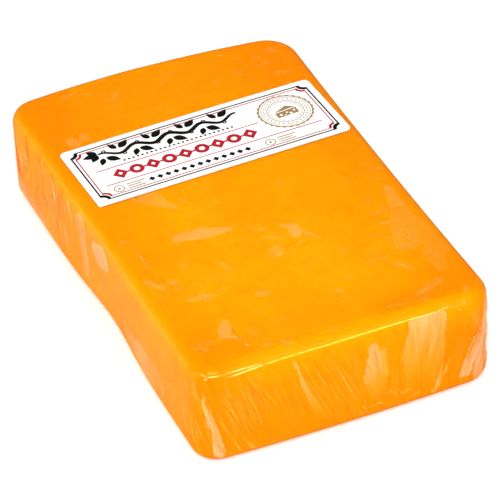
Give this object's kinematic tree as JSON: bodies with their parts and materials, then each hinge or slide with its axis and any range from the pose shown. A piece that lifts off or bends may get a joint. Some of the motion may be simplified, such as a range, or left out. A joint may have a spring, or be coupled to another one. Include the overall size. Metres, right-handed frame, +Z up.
{
  "type": "cheddar block",
  "caption": "Flat oblong block of orange cheddar, sealed in clear shrink film that wrinkles at its corners, with a plain framed paper label across its top.",
  "frame": {"origin": "on the surface that the block lies on, under the middle of its outline seen from above", "axes": "+X along the short front side, +Y along the length towards the labelled end, +Z up out of the labelled top"},
  "size_m": [0.1104, 0.1826, 0.0392],
  "materials": {
    "cheddar": "smooth, dense cheese, orange, slightly mottled, seen through tight film",
    "film": "thin clear shrink film, glossy, with fine wrinkles and pale air pockets",
    "label_paper": "smooth coated white paper",
    "print_black": "black print on the label",
    "print_red": "red print on the label",
    "print_tan": "tan print on the label"
  },
  "bodies": {
    "root": {"wrapped_block": "cheddar", "label": "label_paper"}
  },
  "joints": []
}
